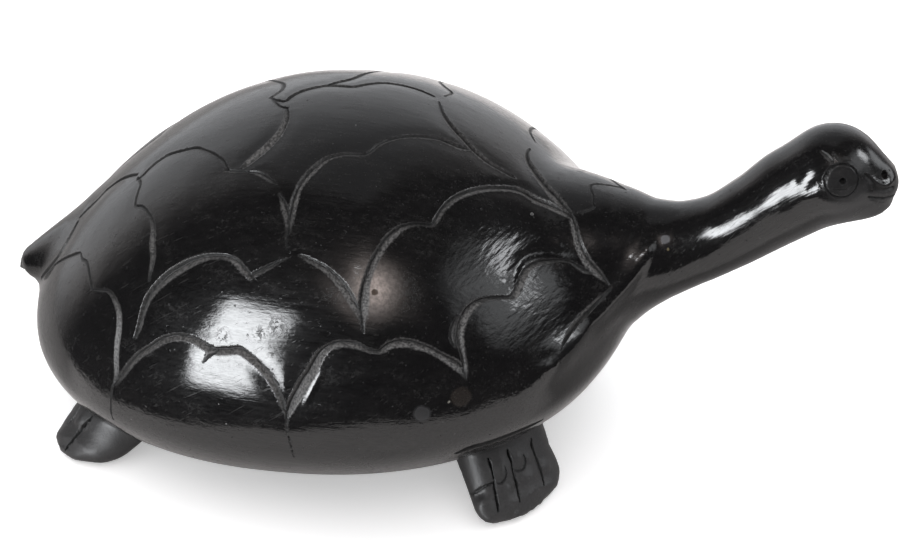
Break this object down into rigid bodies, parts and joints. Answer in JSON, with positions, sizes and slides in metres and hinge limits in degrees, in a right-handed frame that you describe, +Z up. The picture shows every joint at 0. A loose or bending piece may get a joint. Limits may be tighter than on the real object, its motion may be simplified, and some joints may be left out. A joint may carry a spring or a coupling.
{
  "type": "turtle figurine",
  "caption": "Standing turtle of burnished black clay with a domed, scute-carved shell, a long raised neck, paddle feet and a short tail.",
  "frame": {"origin": "on the ground, below the middle of the bounding box", "axes": "+X towards the head along the length, +Y to the turtle's left, +Z up"},
  "size_m": [0.2443, 0.136, 0.1081],
  "materials": {
    "black_clay": "burnished to a soft gloss"
  },
  "bodies": {
    "root": {"turtle": "black_clay"}
  },
  "joints": []
}
